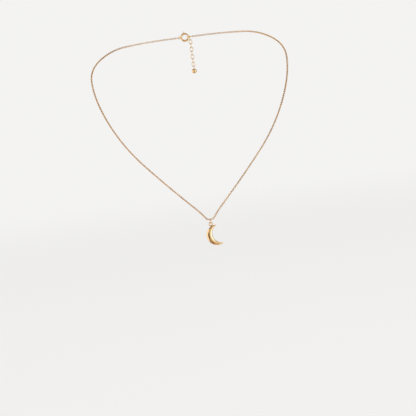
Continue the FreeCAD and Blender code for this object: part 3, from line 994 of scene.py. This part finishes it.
# what the gold mirrors, seen from the pendant: degrees right of the front, degrees up and light.
# They are set for the photograph's view, where they put light and dark bands along the crescent.
cards = {
    "lensCard": {"right": (-22, 25), "up": (-28, 38), "glow": (0.62, 0.54, 0.48)},
    "leftEdge": {"right": (-43, -18), "up": (-28, 9), "glow": (0.03, 0.025, 0.02)},
    "edgeMiddle": {"right": (-43, -6), "up": (-10, 3), "glow": (0.03, 0.02, 0.01), "nearer": 0.05},
    "leftEdgeTop": {"right": (-43, -22), "up": (9, 38), "glow": (0.38, 0.32, 0.25)},
    "leftSheet": {"right": (-125, -43), "up": (-38, 40), "glow": (1.3, 1.17, 1.15)},
    "lowLeftSheet": {"right": (-150, -66), "up": (-88, -38), "glow": (0.60, 0.44, 0.38)},
    "lowRimSheet": {"right": (-66, -44), "up": (-80, -34), "glow": (1.0, 0.66, 0.62), "nearer": 0.05},
    "lowRimFoot": {"right": (-44, -12), "up": (-80, -56), "glow": (1.0, 0.66, 0.62), "nearer": 0.05},
    "lowLeftCard": {"right": (-66, -10), "up": (-80, -27), "glow": (0.03, 0.02, 0.015)},
    "lowCard": {"right": (-10, 60), "up": (-88, -28), "glow": (0.62, 0.48, 0.42)},
    "overCard": {"right": (-160, -35), "up": (40, 88), "glow": (0.16, 0.11, 0.07)},
    "topCard": {"right": (-35, 120), "up": (38, 88), "glow": (0.62, 0.48, 0.42)},
    "keyEdge": {"right": (25, 86), "up": (-50, 32), "glow": (1.0, 1.06, 1.15)},
    "keySheet": {"right": (40, 76), "up": (-32, 26), "glow": (1.6, 1.9, 2.5), "nearer": 0.05},
    "rightSheet": {"right": (86, 130), "up": (-50, 38), "glow": (0.55, 0.58, 0.62)},
    "rightCard": {"right": (130, 150), "up": (-60, 50), "glow": (0.10, 0.09, 0.08)},
    "backCard": {"right": (178, 200), "up": (-40, 40), "glow": (0.05, 0.05, 0.05)},
    "backLeftCard": {"right": (208, 220), "up": (-60, 40), "glow": (0.10, 0.09, 0.08)},
}
cardDistance = 1.5
pendantMiddle = Vector(crescent["middle"]) * mm


def direction(right, up):
    a, e = math.radians(right), math.radians(up)
    return Vector((math.sin(a) * math.cos(e), -math.cos(a) * math.cos(e), math.sin(e)))


def paleRays(tree):
    # camera, glossy and transmission rays see the pale studio as it is
    rays = tree.nodes.new("ShaderNodeLightPath")
    first = addNode(tree, "ShaderNodeMath", operation="MAXIMUM")
    tree.links.new(rays.outputs["Is Camera Ray"], first.inputs[0])
    tree.links.new(rays.outputs["Is Glossy Ray"], first.inputs[1])
    second = addNode(tree, "ShaderNodeMath", operation="MAXIMUM")
    tree.links.new(first.outputs[0], second.inputs[0])
    tree.links.new(rays.outputs["Is Transmission Ray"], second.inputs[1])
    return second.outputs[0]


def makeWorld():
    world = bpy.data.worlds.new("paleStudio")
    world.use_nodes = True
    tree = world.node_tree
    tree.nodes.clear()
    out = tree.nodes.new("ShaderNodeOutputWorld")
    seen = addNode(tree, "ShaderNodeBackground", Color=(*studio["paleColour"], 1), Strength=1.0)
    fill = addNode(tree, "ShaderNodeBackground", Color=(1, 1, 1, 1), Strength=studio["worldFill"])
    mix = tree.nodes.new("ShaderNodeMixShader")
    tree.links.new(paleRays(tree), mix.inputs[0])
    tree.links.new(fill.outputs[0], mix.inputs[1])
    tree.links.new(seen.outputs[0], mix.inputs[2])
    tree.links.new(mix.outputs[0], out.inputs["Surface"])
    scene.world = world


def makeFloor():
    half = studio["floorSide"] / 2
    mesh = bpy.data.meshes.new("floor")
    corners = [(x * half, y * half, studio["floorHeight"]) for x, y in ((-1, -1), (1, -1), (1, 1), (-1, 1))]
    mesh.from_pydata(corners, [], [(0, 1, 2, 3)])
    floor = bpy.data.objects.new("floor", mesh)
    scene.collection.objects.link(floor)
    material = bpy.data.materials.new("paleFloor")
    material.use_nodes = True
    tree = material.node_tree
    tree.nodes.clear()
    link = tree.links.new
    out = tree.nodes.new("ShaderNodeOutputMaterial")
    matt = addNode(tree, "ShaderNodeBsdfDiffuse", Color=(*studio["paleColour"], 1))
    glow = addNode(tree, "ShaderNodeEmission", Color=(*studio["paleColour"], 1), Strength=1.0)
    where = tree.nodes.new("ShaderNodeTexCoord")
    reach = addNode(tree, "ShaderNodeVectorMath", operation="LENGTH")
    link(where.outputs["Object"], reach.inputs[0])
    fade = addNode(tree, "ShaderNodeMapRange", interpolation_type="SMOOTHSTEP")
    fade.inputs["From Min"].default_value = studio["fadeFrom"]
    fade.inputs["From Max"].default_value = studio["fadeTo"]
    fade.inputs["To Min"].default_value = studio["floorShine"]
    fade.inputs["To Max"].default_value = 1.0
    link(reach.outputs["Value"], fade.inputs["Value"])
    share = addNode(tree, "ShaderNodeMath", operation="MULTIPLY")
    link(paleRays(tree), share.inputs[0])
    link(fade.outputs["Result"], share.inputs[1])
    mix = tree.nodes.new("ShaderNodeMixShader")
    link(share.outputs[0], mix.inputs[0])
    link(matt.outputs[0], mix.inputs[1])
    link(glow.outputs[0], mix.inputs[2])
    link(mix.outputs[0], out.inputs["Surface"])
    mesh.materials.append(material)
    floor.visible_glossy = False


def makeSoftBox(name, box):
    data = bpy.data.lights.new(name, "AREA")
    data.shape = "RECTANGLE"
    data.size, data.size_y = box["size"]
    data.energy = box["radiance"] * math.pi * box["size"][0] * box["size"][1]
    data.color = box["colour"]
    item = bpy.data.objects.new(name, data)
    heading = direction(box["right"], box["up"])
    item.location = pendantMiddle + heading * box["distance"]
    item.rotation_euler = heading.to_track_quat("Z", "Y").to_euler()
    item.visible_camera = False
    item.visible_glossy = False
    scene.collection.objects.link(item)


def makeCard(name, card):
    # part of a sphere round the pendant, in steps of about five degrees
    radius = cardDistance - card.get("nearer", 0)
    (left, right), (low, high) = card["right"], card["up"]
    columns = max(2, round((right - left) / 5))
    rows = max(2, round((high - low) / 5))
    mesh = bpy.data.meshes.new(name)
    points = [
        pendantMiddle + direction(left + (right - left) * i / columns, low + (high - low) * j / rows) * radius
        for j in range(rows + 1) for i in range(columns + 1)
    ]
    faces = []
    for j in range(rows):
        for i in range(columns):
            a = j * (columns + 1) + i
            faces.append((a, a + 1, a + columns + 2, a + columns + 1))
    mesh.from_pydata(points, [], faces)
    item = bpy.data.objects.new(name, mesh)
    scene.collection.objects.link(item)
    material = bpy.data.materials.new(name)
    material.use_nodes = True
    tree = material.node_tree
    tree.nodes.clear()
    out = tree.nodes.new("ShaderNodeOutputMaterial")
    glow = addNode(tree, "ShaderNodeEmission", Color=(*card["glow"], 1), Strength=1.0)
    tree.links.new(glow.outputs[0], out.inputs["Surface"])
    mesh.materials.append(material)
    item.visible_camera = False
    item.visible_diffuse = False
    item.visible_shadow = False


makeWorld()
makeFloor()
for name, box in softBoxes.items():
    makeSoftBox(name, box)
for name, card in cards.items():
    makeCard(name, card)
scene.view_settings.view_transform = "Standard"
print("studio lit")
